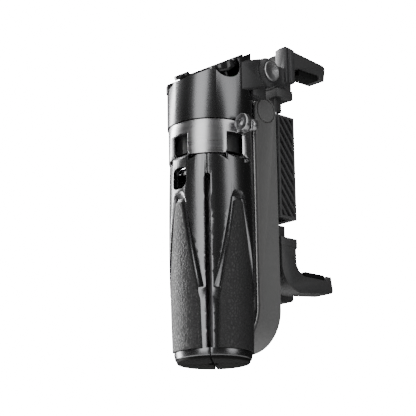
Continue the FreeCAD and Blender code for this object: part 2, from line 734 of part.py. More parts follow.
def makeClampHousing():
    inner = clampHalfW - grilleT
    z = (clampZ - clampHalfH, clampZ + clampHalfH)
    shell = box((clampX - inner, clampX + inner), (clampBackY, clampFrontY), z)
    wide = inner - clampWall
    cavity = box((clampX - wide, clampX + wide), (clampBackY + clampWall - 0.2, clampFrontY + 1),
                 (z[0] + clampWall, z[1] - clampWall))
    shell = shell.cut(cavity)
    for side in (1, -1):
        for offset, up in ((upperRodOffset, 1), (lowerRodOffset, -1)):
            x = clampX + side * offset
            low = clampZ + up * (guideOut - guideH) if up > 0 else clampZ - guideOut
            block = box((x - 1.15, x + 1.15), (clampBackY + 1, rodY + 1.3), (low, low + guideH))
            shell = shell.fuse(block)
            shell = shell.cut(rod("Z", (x, rodY), low - 1, low + guideH + 1, rodR + runFit))
    stems = box((clampX - stemHalfW - slideFit, clampX + stemHalfW + slideFit),
                (clampBackY + clampWall - 0.2, stemY[1] + slideFit), (z[0] - 1, z[0] + clampWall + 1))
    shell = without(shell, [stems, mirroredUp(stems)])
    axle = rod("Y", (clampX, clampZ), clampBackY + 0.8, clampFrontY - 0.4, pinionBoreR - runFit)
    parts["clamp_housing"] = joined([shell, axle])

    cover = box((clampX - inner, clampX + inner), (clampFrontY, clampFrontY + clampCoverT), z)
    corners = [(clampX + sx * (inner - 1.6), clampZ + sz * (clampHalfH - 0.9)) for sx in (1, -1)
               for sz in (1, -1)]
    screws = []
    for x, height in corners:
        cover = cover.cut(rod("Y", (x, height), 0, 90, 0.6))
        screws.append(rod("Y", (x, height), clampFrontY, clampFrontY + clampCoverT, 0.6))
    parts["clamp_front_cover"] = cover
    parts["clamp_cover_screws"] = Part.makeCompound(screws)
    front = clampFrontY + clampCoverT
    pad = box((clampX - inner + 1.4, clampX + inner - 1.4), (front, front + phonePadT),
              (z[0] + 2.4, z[1] - 2.4))
    parts["phone_pad"] = softened(pad, 1.2, lambda e: e.BoundBox.YLength > phonePadT - 0.01)


def makeGrilles():
    """Side plates with a row of slanting slots."""
    front = clampFrontY + clampCoverT
    z = (clampZ - clampHalfH, clampZ + clampHalfH)
    window = box((-60, 60), (clampBackY + grilleBorder, front - grilleBorder),
                 (z[0] + grilleBorder, z[1] - grilleBorder))
    pitch = (z[1] - z[0]) / grilleSlots
    plates = []
    for x in sides():
        plate = box(x, (clampBackY, front), z)
        for i in range(-2, grilleSlots + 2):
            slot = box((x[0] - 1, x[1] + 1), (-12, 12), (-grilleSlotW / 2, grilleSlotW / 2))
            slot = moved(turned(slot, -grilleRise, (1, 0, 0)), y=(clampBackY + front) / 2,
                         z=z[0] + pitch * (i + 0.5))
            plate = plate.cut(slot.common(window))
        plates.append(plate)
    parts["side_grilles"] = Part.makeCompound(plates)


def jawOutline():
    """The upper jaw's side outline; q counts outward from the gripped edge."""
    back, front = jawBackY, jawBackY + jawDepth

    def at(y, q):
        return Vector(0, y, clampZ + gripHalf + q)

    base = jawBase - gripHalf
    hookY = 59.2
    return [Part.LineSegment(at(back, base), at(back, -0.6)).toShape(),
            Part.Arc(at(back, -0.6), at(34.2, 5.6), at(40.6, 8.8)).toShape(),
            Part.LineSegment(at(40.6, 8.8), at(hookY - 1.4, 7.0)).toShape(),
            Part.Arc(at(hookY - 1.4, 7.0), at(hookY - 0.3, 6.3), at(hookY, 5.2)).toShape(),
            Part.LineSegment(at(hookY, 5.2), at(hookY - 0.9, 0.4)).toShape(),
            Part.LineSegment(at(hookY - 0.9, 0.4), at(55.8, 0.4)).toShape(),
            Part.LineSegment(at(55.8, 0.4), at(55.4, 2.2)).toShape(),
            Part.LineSegment(at(55.4, 2.2), at(44.4, 2.2)).toShape(),
            Part.Arc(at(44.4, 2.2), at(40.8, 0.6), at(front, -3.0)).toShape(),
            Part.LineSegment(at(front, -3.0), at(front, base)).toShape(),
            Part.LineSegment(at(front, base), at(back, base)).toShape()]


def fingers():
    low, high = clampX - clampHalfW, clampX + clampHalfW
    return ((low, low + jawFingerW), (high - jawFingerW, high))


def makeUpperJaw():
    """The upper jaw's pieces; the lower ones mirror all but the rods and the rack."""
    face = Part.Face(Part.Wire(jawOutline()))
    blades = [moved(face.extrude(Vector(jawFingerW, 0, 0)), x=x[0]) for x in fingers()]
    edge = clampZ + jawBase
    bridge = box((clampX - clampHalfW, clampX + clampHalfW), (jawBackY, jawBackY + jawDepth),
                 (edge, edge + jawBridgeH))
    jaw = joined(blades + [bridge])
    pads = [box((x[0] + 0.6, x[1] - 0.6), (44.6, 55.2),
                (clampZ + gripHalf, clampZ + gripHalf + 2.2)) for x in fingers()]
    return jaw, Part.makeCompound(pads)


def makeCarriage(side):
    """Flange and stem of the upper jaw with its rack, the rack on the given side of the pinion."""
    flange = box((clampX - clampHalfW + 0.2, clampX + clampHalfW - 0.2), (31.6, 40.2),
                 (clampZ + flangeIn, clampZ + jawBase))
    stem = box((clampX - stemHalfW, clampX + stemHalfW), stemY, (clampZ + stemIn, clampZ + flangeIn))
    rack = makeRack(side)
    return joined([flange, stem, rack])


def makeRack(side):
    """A rack along Z whose teeth face the pinion."""
    root = pitchR + 1.25 * gearModule
    tip = pitchR - gearModule
    low, high = clampZ - rackReach, clampZ + stemIn + 1
    pitch = math.pi * gearModule
    slope = math.tan(math.radians(20))
    x = sorted((clampX + side * root, clampX + side * (root + rackBodyW)))
    rack = box(x, gearY, (low, high))
    teeth = []
    for i in range(-3, 13):
        # a tooth space of the pinion faces the rack at mid height, so a rack tooth is centred there
        middle = clampZ + pitch * i
        half = pitch / 4 - gearBacklash / 2
        wide = half + 1.25 * gearModule * slope
        thin = half - gearModule * slope
        points = [(clampX + side * (root + 0.1), middle - wide), (clampX + side * tip, middle - thin),
                  (clampX + side * tip, middle + thin), (clampX + side * (root + 0.1), middle + wide)]
        if middle - wide > low and middle + wide < high:
            teeth.append(prism("XZ", points, gearY[0], gearY[1]))
    return joined([rack] + teeth)


def makePinion():
    """An involute pinion with a tooth space on the rack side at +X and -X."""
    base = pitchR * math.cos(math.radians(20))
    outside = pitchR + gearModule
    root = pitchR - 1.25 * gearModule
    involute = math.tan(math.radians(20)) - math.radians(20)
    halfTooth = (math.pi / 2 - gearBacklash / gearModule / 2) / pinionTeeth + involute

    def flank(radius):
        angle = math.acos(base / max(radius, base))
        return halfTooth - (math.tan(angle) - angle)

    radii = [base + (outside - base) * i / 4 for i in range(5)]
    points = []
    for tooth in range(pinionTeeth):
        middle = 2 * math.pi * (tooth + 0.5) / pinionTeeth
        left = [(radius, middle - flank(radius)) for radius in radii]
        right = [(radius, middle + flank(radius)) for radius in reversed(radii)]
        sweep = [(root, left[0][1])] + left + right + [(root, right[-1][1])]
        points += [(clampX + r * math.cos(a), clampZ + r * math.sin(a)) for r, a in sweep]
    wheel = prism("XZ", points, gearY[0] + 0.2, gearY[1] - 0.2)
    parts["sync_pinion"] = wheel.cut(rod("Y", (clampX, clampZ), 0, 60, pinionBoreR))


def makeRods(offset):
    rods = []
    for side in (1, -1):
        x = clampX + side * offset
        shank = rod("Z", (x, rodY), clampZ + rodInner, clampZ + stemIn, rodR)
        clip = rod("Z", (x, rodY), clampZ + rodInner, clampZ + rodInner + rodFlangeH, rodFlangeR)
        rods.append(joined([shank, clip]))
    return Part.makeCompound(rods)


def makeSprings(offset):
    """Compression springs on the rods, between the guide and the rod's inner collar."""
    low = rodInner + rodFlangeH + springWireR
    high = guideOut - guideH - springWireR
    coils = []
    for side in (1, -1):
        helix = Part.makeHelix(springPitch, high - low, springR)
        profile = Part.Wire(Part.makeCircle(springWireR, Vector(springR, 0, 0), Vector(0, 1, 0)))
        coil = Part.Wire(helix).makePipeShell([profile], True, True)
        coils.append(moved(coil, x=clampX + side * offset, y=rodY, z=clampZ + low))
    return Part.makeCompound(coils)


def makeJaws():
    jaw, pads = makeUpperJaw()
    parts["upper_jaw"] = jaw
    parts["upper_jaw_pads"] = pads
    parts["lower_jaw"] = mirroredUp(jaw)
    parts["lower_jaw_pads"] = mirroredUp(pads)
    parts["upper_carriage"] = makeCarriage(1)
    parts["lower_carriage"] = mirroredUp(makeCarriage(-1))
    parts["upper_guide_rods"] = makeRods(upperRodOffset)
    parts["lower_guide_rods"] = mirroredUp(makeRods(lowerRodOffset))
    parts["upper_clamp_springs"] = makeSprings(upperRodOffset)
    parts["lower_clamp_springs"] = mirroredUp(makeSprings(lowerRodOffset))


makeLegs()
makeHub()
makeCollar()
makeMast()
makeHead()
makeControls()
makeAccessory()
makeArm()
makeMotor()
makeClampHousing()
makeGrilles()
makePinion()
makeJaws()

os.makedirs("parts", exist_ok=True)
for name, shape in parts.items():
    shape.exportStep(f"parts/{name}.step")
    print(f"{name:24s} solids {len(shape.Solids)} valid {shape.isValid()} volume {shape.Volume:9.1f}")
print(len(parts), "nodes")
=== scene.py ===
# Folding phone gimbal, folded flat with its clamp open for a large phone.
from math import cos, pi, radians, sin

import bmesh
import bpy
from mathutils import Matrix, Vector


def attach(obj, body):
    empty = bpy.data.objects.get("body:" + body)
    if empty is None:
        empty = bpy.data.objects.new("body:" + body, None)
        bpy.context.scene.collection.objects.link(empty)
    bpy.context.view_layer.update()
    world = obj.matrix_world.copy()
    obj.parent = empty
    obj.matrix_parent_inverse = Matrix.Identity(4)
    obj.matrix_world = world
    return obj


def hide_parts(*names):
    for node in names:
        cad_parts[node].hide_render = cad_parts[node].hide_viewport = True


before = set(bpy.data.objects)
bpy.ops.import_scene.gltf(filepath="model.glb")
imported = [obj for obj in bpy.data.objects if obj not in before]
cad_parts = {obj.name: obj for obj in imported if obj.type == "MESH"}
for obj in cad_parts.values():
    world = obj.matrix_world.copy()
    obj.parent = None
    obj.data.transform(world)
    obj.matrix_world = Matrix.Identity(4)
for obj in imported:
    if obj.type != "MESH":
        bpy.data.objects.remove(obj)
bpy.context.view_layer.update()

mm = 0.001
mesh = dict(weld=2e-6, flatAngle=0.4, sharpAngle=32.0)    # metres and degrees


# meshes

def newObject(name, data):
    piece = bpy.data.objects.new(name, data)
    bpy.context.scene.collection.objects.link(piece)
    return piece


def meshFromBmesh(name, bm):
    data = bpy.data.meshes.new(name)
    bm.to_mesh(data)
    bm.free()
    return data


def bakeModifiers(piece):
    graph = bpy.context.evaluated_depsgraph_get()
    graph.update()
    baked = bpy.data.meshes.new_from_object(piece.evaluated_get(graph))
    piece.modifiers.clear()
    piece.data = baked


def smoothByAngle(data):
    bm = bmesh.new()
    bm.from_mesh(data)
    for face in bm.faces:
        face.smooth = True
    for edge in bm.edges:
        edge.smooth = edge.is_manifold and edge.calc_face_angle(pi) < radians(mesh["sharpAngle"])
    bm.to_mesh(data)
    bm.free()


def weldedCopy(nodeName, name):
    bm = bmesh.new()
    bm.from_mesh(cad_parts[nodeName].data)
    bmesh.ops.remove_doubles(bm, verts=bm.verts, dist=mesh["weld"])
    bmesh.ops.dissolve_limit(bm, angle_limit=radians(mesh["flatAngle"]), verts=bm.verts, edges=bm.edges)
    return newObject(name, meshFromBmesh(name, bm))


# a welded copy of a CAD node with its sharp edges rounded by width mm
def refined(nodeName, name, width, segments=2):
    piece = weldedCopy(nodeName, name)
    bevel = piece.modifiers.new("roundedEdges", "BEVEL")
    bevel.width = width * mm
    bevel.segments = segments
    bevel.limit_method = "ANGLE"
    bevel.angle_limit = radians(mesh["sharpAngle"])
    bevel.use_clamp_overlap = True
    bevel.miter_outer = "MITER_ARC"
    bakeModifiers(piece)
    smoothByAngle(piece.data)
    return piece


def place(piece, body, material, nodes=()):
    piece.data.materials.clear()
    piece.data.materials.append(material)
    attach(piece, body)
    if nodes:
        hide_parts(*nodes)
    return piece


def paint(nodeName, material):
    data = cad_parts[nodeName].data
    if not data.materials:
        data.materials.append(material)
    for index in range(len(data.materials)):
        data.materials[index] = material


# shader groups

def nodeGroup(name, inputs, outputs):
    group = bpy.data.node_groups.new(name, "ShaderNodeTree")
    for label, kind, value in inputs:
        socket = group.interface.new_socket(name=label, in_out="INPUT", socket_type=kind)
        socket.default_value = value
    for label, kind in outputs:
        group.interface.new_socket(name=label, in_out="OUTPUT", socket_type=kind)
    return group, group.nodes.new("NodeGroupInput"), group.nodes.new("NodeGroupOutput")


def add(tree, kind, **settings):
    node = tree.nodes.new(kind)
    for key, value in settings.items():
        setattr(node, key, value)
    return node


# put a number on a socket, or link another socket to it
def setInput(tree, socket, value):
    if isinstance(value, (int, float)):
        socket.default_value = value
    else:
        tree.links.new(value, socket)


def math(tree, operation, a, b):
    node = add(tree, "ShaderNodeMath", operation=operation)
    for index, value in enumerate((a, b)):
        setInput(tree, node.inputs[index], value)
    return node.outputs[0]


def noise(tree, coords, scale, detail=3.0, roughness=0.5):
    node = add(tree, "ShaderNodeTexNoise")
    tree.links.new(coords, node.inputs["Vector"])
    setInput(tree, node.inputs["Scale"], scale)
    node.inputs["Detail"].default_value = detail
    node.inputs["Roughness"].default_value = roughness
    return node.outputs["Fac"]


def makeGrainGroup():
    group, start, end = nodeGroup("surfaceGrain", [
        ("Grain Scale", "NodeSocketFloat", 4000.0), ("Cloud Scale", "NodeSocketFloat", 60.0),
        ("Roughness", "NodeSocketFloat", 0.3), ("Spread", "NodeSocketFloat", 0.06)],
        [("Roughness", "NodeSocketFloat"), ("Height", "NodeSocketFloat"), ("Cloud", "NodeSocketFloat")])
    coords = add(group, "ShaderNodeTexCoord").outputs["Object"]
    fine = noise(group, coords, start.outputs["Grain Scale"], 2.0)
    cloud = noise(group, coords, start.outputs["Cloud Scale"], 4.0, 0.6)
    both = math(group, "ADD", math(group, "MULTIPLY", fine, 0.5), math(group, "MULTIPLY", cloud, 0.5))
    shift = math(group, "MULTIPLY", math(group, "SUBTRACT", both, 0.5), start.outputs["Spread"])
    rough = math(group, "ADD", start.outputs["Roughness"], math(group, "MULTIPLY", shift, 4.0))
    group.links.new(rough, end.inputs["Roughness"])
    group.links.new(fine, end.inputs["Height"])
    group.links.new(cloud, end.inputs["Cloud"])
    return group


def makeWearGroup():
    group, start, end = nodeGroup("edgeWear", [
        ("Threshold", "NodeSocketFloat", 0.53), ("Softness", "NodeSocketFloat", 0.06),
        ("Amount", "NodeSocketFloat", 0.5)], [("Mask", "NodeSocketFloat")])
    point = add(group, "ShaderNodeNewGeometry").outputs["Pointiness"]
    coords = add(group, "ShaderNodeTexCoord").outputs["Object"]
    edge = math(group, "DIVIDE", math(group, "SUBTRACT", point, start.outputs["Threshold"]),
                start.outputs["Softness"])
    broken = math(group, "MULTIPLY", edge, math(group, "MULTIPLY", noise(group, coords, 900.0), 1.6))
    clamped = add(group, "ShaderNodeClamp")
    group.links.new(broken, clamped.inputs["Value"])
    group.links.new(math(group, "MULTIPLY", clamped.outputs[0], start.outputs["Amount"]),
                    end.inputs["Mask"])
    return group


def makeBrushGroup():
    group, start, end = nodeGroup("brushedLines", [
        ("Line Scale", "NodeSocketFloat", 2600.0), ("Stretch", "NodeSocketFloat", 0.02)],
        [("Lines", "NodeSocketFloat")])
    coords = add(group, "ShaderNodeTexCoord").outputs["Object"]
    split = add(group, "ShaderNodeSeparateXYZ")
    group.links.new(coords, split.inputs[0])
    merge = add(group, "ShaderNodeCombineXYZ")
    for index in (0, 1):
        group.links.new(math(group, "MULTIPLY", split.outputs[index], start.outputs["Stretch"]),
                        merge.inputs[index])
    group.links.new(split.outputs[2], merge.inputs[2])
    group.links.new(noise(group, merge.outputs[0], start.outputs["Line Scale"], 3.0, 0.7),
                    end.inputs["Lines"])
    return group


def makeLeatherGroup():
    group, start, end = nodeGroup("leatherPebble", [
        ("Pebble Scale", "NodeSocketFloat", 1500.0), ("Crease", "NodeSocketFloat", 0.25)],
        [("Height", "NodeSocketFloat"), ("Crease Mask", "NodeSocketFloat"), ("Cloud", "NodeSocketFloat")])
    coords = add(group, "ShaderNodeTexCoord").outputs["Object"]
    bend = add(group, "ShaderNodeVectorMath", operation="SCALE")
    wobble = add(group, "ShaderNodeTexNoise")
    wobble.inputs["Scale"].default_value = 700.0
    group.links.new(coords, wobble.inputs["Vector"])
    group.links.new(wobble.outputs["Color"], bend.inputs[0])
    bend.inputs["Scale"].default_value = 0.0007
    warped = add(group, "ShaderNodeVectorMath", operation="ADD")
    group.links.new(coords, warped.inputs[0])
    group.links.new(bend.outputs[0], warped.inputs[1])
    cells = add(group, "ShaderNodeTexVoronoi", feature="DISTANCE_TO_EDGE")
    group.links.new(warped.outputs[0], cells.inputs["Vector"])
    group.links.new(start.outputs["Pebble Scale"], cells.inputs["Scale"])
    rise = add(group, "ShaderNodeMapRange", interpolation_type="SMOOTHSTEP")
    group.links.new(cells.outputs["Distance"], rise.inputs["Value"])
    group.links.new(start.outputs["Crease"], rise.inputs["From Max"])
    fine = noise(group, coords, 5200.0, 2.0)
    height = math(group, "ADD", rise.outputs[0], math(group, "MULTIPLY", fine, 0.25))
    group.links.new(height, end.inputs["Height"])
    group.links.new(math(group, "SUBTRACT", 1.0, rise.outputs[0]), end.inputs["Crease Mask"])
    group.links.new(noise(group, coords, 90.0, 4.0), end.inputs["Cloud"])
    return group


grainGroup = makeGrainGroup()      # fine grain and soft clouding
wearGroup = makeWearGroup()        # lighter convex edges
brushGroup = makeBrushGroup()      # fine lines round the handle
leatherGroup = makeLeatherGroup()  # pebbles with painted shade in the creases
print("shader groups made")


# materials

def useGroup(tree, group, **values):
    node = add(tree, "ShaderNodeGroup", node_tree=group)
    for label, value in values.items():
        node.inputs[label.replace("_", " ")].default_value = value
    return node


def mixColour(tree, factor, a, b):
    node = add(tree, "ShaderNodeMix", data_type="RGBA")
    for socket, value in ((node.inputs[0], factor), (node.inputs[6], a), (node.inputs[7], b)):
        if isinstance(value, tuple):
            socket.default_value = (*value, 1.0)
        else:
            tree.links.new(value, socket)
    return node.outputs[2]


def bump(tree, shader, height, strength, distance):
    node = add(tree, "ShaderNodeBump")
    node.inputs["Strength"].default_value = strength
    node.inputs["Distance"].default_value = distance
    tree.links.new(height, node.inputs["Height"])
    tree.links.new(node.outputs[0], shader.inputs["Normal"])


def startMaterial(name, look):
    material = bpy.data.materials.new(name)
    material.use_nodes = True
    shader = material.node_tree.nodes["Principled BSDF"]
    shader.inputs["Metallic"].default_value = look.get("metallic", 0.0)
    shader.inputs["Coat Weight"].default_value = look.get("coat", 0.0)
    shader.inputs["Coat Roughness"].default_value = 0.1
    shader.inputs["Specular IOR Level"].default_value = look.get("specular", 0.5)
    return material, material.node_tree, shader


def grainedMaterial(name, look):
    material, tree, shader = startMaterial(name, look)
    grain = useGroup(tree, grainGroup, Grain_Scale=look["grain"], Cloud_Scale=look.get("cloud", 60.0),
                     Roughness=look["roughness"], Spread=look.get("spread", 0.05))
    wear = useGroup(tree, wearGroup, Amount=look.get("wear", 0.35))
    base = look["colour"]
    shade = tuple(c * look.get("shade", 0.82) for c in base)
    clouded = mixColour(tree, grain.outputs["Cloud"], shade, base)
    edge = tuple(min(1.0, c * 2.2 + 0.04) for c in base)
    tree.links.new(mixColour(tree, wear.outputs["Mask"], clouded, edge), shader.inputs["Base Color"])
    tree.links.new(grain.outputs["Roughness"], shader.inputs["Roughness"])
    bump(tree, shader, grain.outputs["Height"], look.get("bump", 0.15), look.get("bumpDepth", 0.00002))
    return material


def brushedMaterial(name, look):
    material, tree, shader = startMaterial(name, look)
    lines = useGroup(tree, brushGroup, Line_Scale=look["lines"], Stretch=look.get("stretch", 0.02))
    base = look["colour"]
    low = tuple(c * 0.86 for c in base)
    tree.links.new(mixColour(tree, lines.outputs[0], low, base), shader.inputs["Base Color"])
    rough = math(tree, "ADD", look["roughness"],
                 math(tree, "MULTIPLY", math(tree, "SUBTRACT", lines.outputs[0], 0.5), 0.18))
    tree.links.new(rough, shader.inputs["Roughness"])
    bump(tree, shader, lines.outputs[0], 0.12, 0.00001)
    return material


def leatherMaterial(name, look):
    material, tree, shader = startMaterial(name, look)
    skin = useGroup(tree, leatherGroup, Pebble_Scale=look["pebbles"])
    base = look["colour"]
    # painted shade: the creases between the pebbles get a much deeper base colour
    creaseShade = tuple(c * 0.45 for c in base)
    clouded = mixColour(tree, skin.outputs["Cloud"], tuple(c * 0.8 for c in base), base)
    tree.links.new(mixColour(tree, math(tree, "MULTIPLY", skin.outputs["Crease Mask"], 0.7), clouded, creaseShade),
                   shader.inputs["Base Color"])
    rough = math(tree, "ADD", look["roughness"], math(tree, "MULTIPLY", skin.outputs["Crease Mask"], 0.2))
    tree.links.new(rough, shader.inputs["Roughness"])
    bump(tree, shader, skin.outputs["Height"], look["bump"], 0.0002)
    return material


# colour, metal, roughness, grain, bump and worn edges of each finish
finishes = dict(
    gunmetal=dict(colour=(0.18, 0.18, 0.185), metallic=1.0, roughness=0.27, spread=0.02, grain=3500.0,
                  bump=0.03, wear=0.12, shade=0.94),
    darkTrim=dict(colour=(0.010, 0.010, 0.011), roughness=0.38, grain=5000.0, bump=0.2, wear=0.1),
    armPaint=dict(colour=(0.17, 0.17, 0.17), roughness=0.5, grain=6000.0, bump=0.2, wear=0.3,
                  bumpDepth=0.00001, shade=0.94),
    armCore=dict(colour=(0.02, 0.02, 0.021), metallic=0.3, roughness=0.38, grain=5000.0, bump=0.15,
                 wear=0.15),
    clampPlastic=dict(colour=(0.032, 0.032, 0.033), roughness=0.42, grain=5200.0, bump=0.3, wear=0.2),
    grillePlastic=dict(colour=(0.075, 0.075, 0.077), roughness=0.4, grain=5200.0, bump=0.25, wear=0.2),
    jawPlastic=dict(colour=(0.055, 0.055, 0.056), roughness=0.4, grain=5200.0, bump=0.3, wear=0.2),
    rubber=dict(colour=(0.006, 0.006, 0.006), specular=0.15, roughness=0.7, grain=7000.0, bump=0.5,
                wear=0.05, spread=0.03),
    controlPlastic=dict(colour=(0.02, 0.02, 0.021), roughness=0.22, grain=4000.0, bump=0.06, wear=0.15,
                        coat=0.4),
    hornPaint=dict(colour=(0.055, 0.055, 0.057), metallic=0.3, roughness=0.42, grain=5200.0, bump=0.15,
                   wear=0.2),
    boardGreen=dict(colour=(0.015, 0.10, 0.035), roughness=0.35, grain=3000.0, cloud=500.0, coat=0.4),
    cellWrap=dict(colour=(0.32, 0.34, 0.37), metallic=0.3, roughness=0.4, grain=2500.0, cloud=150.0),
    copper=dict(colour=(0.62, 0.30, 0.16), metallic=1.0, roughness=0.3, grain=4000.0, cloud=400.0),
    brassGear=dict(colour=(0.68, 0.52, 0.25), metallic=1.0, roughness=0.28, grain=4200.0))
brushed = dict(
    silver=dict(colour=(0.60, 0.60, 0.61), metallic=1.0, roughness=0.3, lines=2200.0),
    steel=dict(colour=(0.55, 0.55, 0.57), metallic=1.0, roughness=0.25, lines=3000.0, stretch=0.3),
    tubeMetal=dict(colour=(0.40, 0.40, 0.41), metallic=1.0, roughness=0.42, lines=2600.0))
looks = {name: grainedMaterial(name, look) for name, look in finishes.items()}
looks.update({name: brushedMaterial(name, look) for name, look in brushed.items()})
looks["leather"] = leatherMaterial("leather", dict(
    colour=(0.03, 0.03, 0.031), roughness=0.42, pebbles=850.0, bump=0.55))
print("materials made")


# legs

legEdges = dict(shell=0.16, foot=0.2, pad=0.3, padSegments=3)    # edge rounding in mm

for legName in ("right", "back", "left", "front"):
    body = f"{legName}_leg"
    shell = refined(f"{body}_shell", f"{legName}LegShell", legEdges["shell"])
    place(shell, body, looks["gunmetal"], [f"{body}_shell"])
    foot = refined(f"{body}_foot", f"{legName}LegFoot", legEdges["foot"])
    place(foot, body, looks["rubber"], [f"{body}_foot"])
    pad = refined(f"{body}_pad", f"{legName}LegPad", legEdges["pad"], legEdges["padSegments"])
    place(pad, body, looks["leather"], [f"{body}_pad"])
print("legs made")


# side grilles: plates with a row of slanting slots

grille = dict(thickness=1.2, border=1.0, slots=10, slotWidth=1.5, rise=52.0)    # mm and degrees


def geometryGroup(name, inputs):
    group = bpy.data.node_groups.new(name, "GeometryNodeTree")
    group.interface.new_socket(name="Geometry", in_out="OUTPUT", socket_type="NodeSocketGeometry")
    for label, kind, value in inputs:
        socket = group.interface.new_socket(name=label, in_out="INPUT", socket_type=kind)
        if value is not None:
            socket.default_value = value
    return group, group.nodes.new("NodeGroupInput").outputs, group.nodes.new("NodeGroupOutput").inputs


def vector(tree, x, y, z):
    node = add(tree, "ShaderNodeCombineXYZ")
    for socket, value in zip(node.inputs, (x, y, z)):
        setInput(tree, socket, value)
    return node.outputs[0]


def makeGrilleGroup():
    group, given, result = geometryGroup("slottedPlates", [
        ("Thickness", "NodeSocketFloat", 0.001), ("Depth", "NodeSocketFloat", 0.01),
        ("Height", "NodeSocketFloat", 0.04), ("Border", "NodeSocketFloat", 0.001),
        ("Slots", "NodeSocketInt", 10), ("Slot Width", "NodeSocketFloat", 0.0015),
        ("Rise", "NodeSocketFloat", 0.9), ("Spacing", "NodeSocketFloat", 0.03),
        ("Material", "NodeSocketMaterial", None)])
    link = group.links.new
    plate = add(group, "GeometryNodeMeshCube")
    link(vector(group, given["Thickness"], given["Depth"], given["Height"]), plate.inputs["Size"])
    frameBoth = math(group, "MULTIPLY", given["Border"], 2.0)
    window = add(group, "GeometryNodeMeshCube")
    link(vector(group, math(group, "MULTIPLY", given["Thickness"], 3.0),
                math(group, "SUBTRACT", given["Depth"], frameBoth),
                math(group, "SUBTRACT", given["Height"], frameBoth)), window.inputs["Size"])
    slot = add(group, "GeometryNodeMeshCube")
    link(vector(group, math(group, "MULTIPLY", given["Thickness"], 2.0),
                math(group, "MULTIPLY", given["Depth"], 3.0), given["Slot Width"]), slot.inputs["Size"])
    pitch = math(group, "DIVIDE", given["Height"], given["Slots"])
    count = math(group, "ADD", given["Slots"], 4.0)
    first = math(group, "MULTIPLY", math(group, "MULTIPLY", math(group, "SUBTRACT", count, 1.0), -0.5), pitch)
    row = add(group, "GeometryNodeMeshLine")
    link(count, row.inputs["Count"])
    link(vector(group, 0.0, 0.0, first), row.inputs["Start Location"])
    link(vector(group, 0.0, 0.0, pitch), row.inputs["Offset"])
    slots = add(group, "GeometryNodeInstanceOnPoints")
    link(row.outputs[0], slots.inputs["Points"])
    link(slot.outputs["Mesh"], slots.inputs["Instance"])
    link(vector(group, math(group, "MULTIPLY", given["Rise"], -1.0), 0.0, 0.0), slots.inputs["Rotation"])
    solidSlots = add(group, "GeometryNodeRealizeInstances")
    link(slots.outputs[0], solidSlots.inputs[0])
    inside = add(group, "GeometryNodeMeshBoolean", operation="INTERSECT")
    link(solidSlots.outputs[0], inside.inputs["Mesh 2"])
    link(window.outputs["Mesh"], inside.inputs["Mesh 2"])
    opened = add(group, "GeometryNodeMeshBoolean", operation="DIFFERENCE")
    link(plate.outputs["Mesh"], opened.inputs["Mesh 1"])
    link(inside.outputs["Mesh"], opened.inputs["Mesh 2"])
    pair = add(group, "GeometryNodeMeshLine")
    pair.inputs["Count"].default_value = 2
    link(vector(group, math(group, "MULTIPLY", given["Spacing"], -0.5), 0.0, 0.0),
         pair.inputs["Start Location"])
    link(vector(group, given["Spacing"], 0.0, 0.0), pair.inputs["Offset"])
    plates = add(group, "GeometryNodeInstanceOnPoints")
    link(pair.outputs[0], plates.inputs["Points"])
    link(opened.outputs["Mesh"], plates.inputs["Instance"])
    whole = add(group, "GeometryNodeRealizeInstances")
    link(plates.outputs[0], whole.inputs[0])
    painted = add(group, "GeometryNodeSetMaterial")
    link(whole.outputs[0], painted.inputs["Geometry"])
    link(given["Material"], painted.inputs["Material"])
    link(painted.outputs[0], result["Geometry"])
    return group


def nodeSpan(nodeName):
    corners = [vertex.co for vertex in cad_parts[nodeName].data.vertices]
    low = Vector(min(c[axis] for c in corners) for axis in range(3))
    high = Vector(max(c[axis] for c in corners) for axis in range(3))
    return low, high


def grown(group, name, values):
    piece = newObject(name, bpy.data.meshes.new(name))
    modifier = piece.modifiers.new(name, "NODES")
    modifier.node_group = group
    for item in group.interface.items_tree:
        if item.in_out == "INPUT" and item.name in values:
            modifier[item.identifier] = values[item.name]
    bakeModifiers(piece)
    return piece


low, high = nodeSpan("side_grilles")
plates = grown(makeGrilleGroup(), "sideGrilles", {
    "Thickness": grille["thickness"] * mm, "Depth": high.y - low.y, "Height": high.z - low.z,
    "Border": grille["border"] * mm, "Slots": grille["slots"], "Slot Width": grille["slotWidth"] * mm,
    "Rise": radians(grille["rise"]), "Spacing": high.x - low.x - grille["thickness"] * mm,
    "Material": looks["grillePlastic"]})
plates.data.transform(Matrix.Translation((low + high) / 2))
smoothByAngle(plates.data)
place(plates, "clamp", looks["grillePlastic"], ["side_grilles"])
print("grilles made")


# the other pieces: CAD node, name, body, slot, finish, edge rounding in mm

